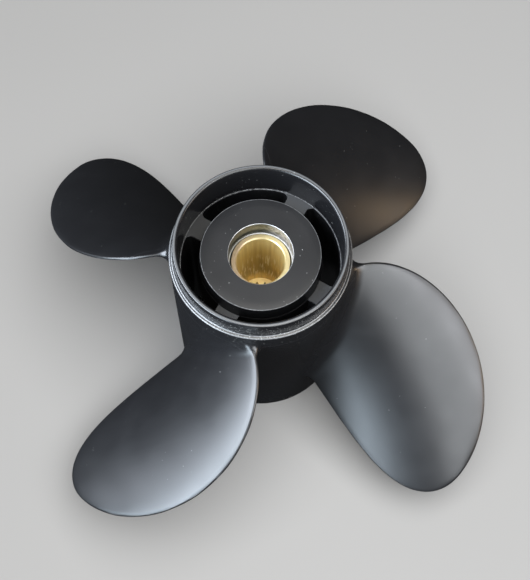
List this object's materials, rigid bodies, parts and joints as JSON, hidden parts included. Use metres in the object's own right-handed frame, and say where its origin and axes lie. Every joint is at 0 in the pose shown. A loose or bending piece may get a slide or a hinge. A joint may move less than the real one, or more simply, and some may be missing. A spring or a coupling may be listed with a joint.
{
  "type": "boat propeller",
  "caption": "Outboard boat propeller: skewed blades on a hub with exhaust passages through it, a rubber bush and a splined brass sleeve.",
  "frame": {"origin": "centre of the hub's aft rim, on which the propeller stands", "axes": "+Z along the shaft axis to the forward end of the hub; +X and +Y across it"},
  "size_m": [0.2836, 0.2836, 0.1467],
  "materials": {
    "black_paint": "satin black paint over cast aluminium",
    "black_rubber": "matte moulded rubber",
    "turned_brass": "turned and broached, a little dulled"
  },
  "bodies": {
    "root": {"propeller_casting": "black_paint", "rubber_bush": "black_rubber", "spline_sleeve": "turned_brass"}
  },
  "joints": []
}
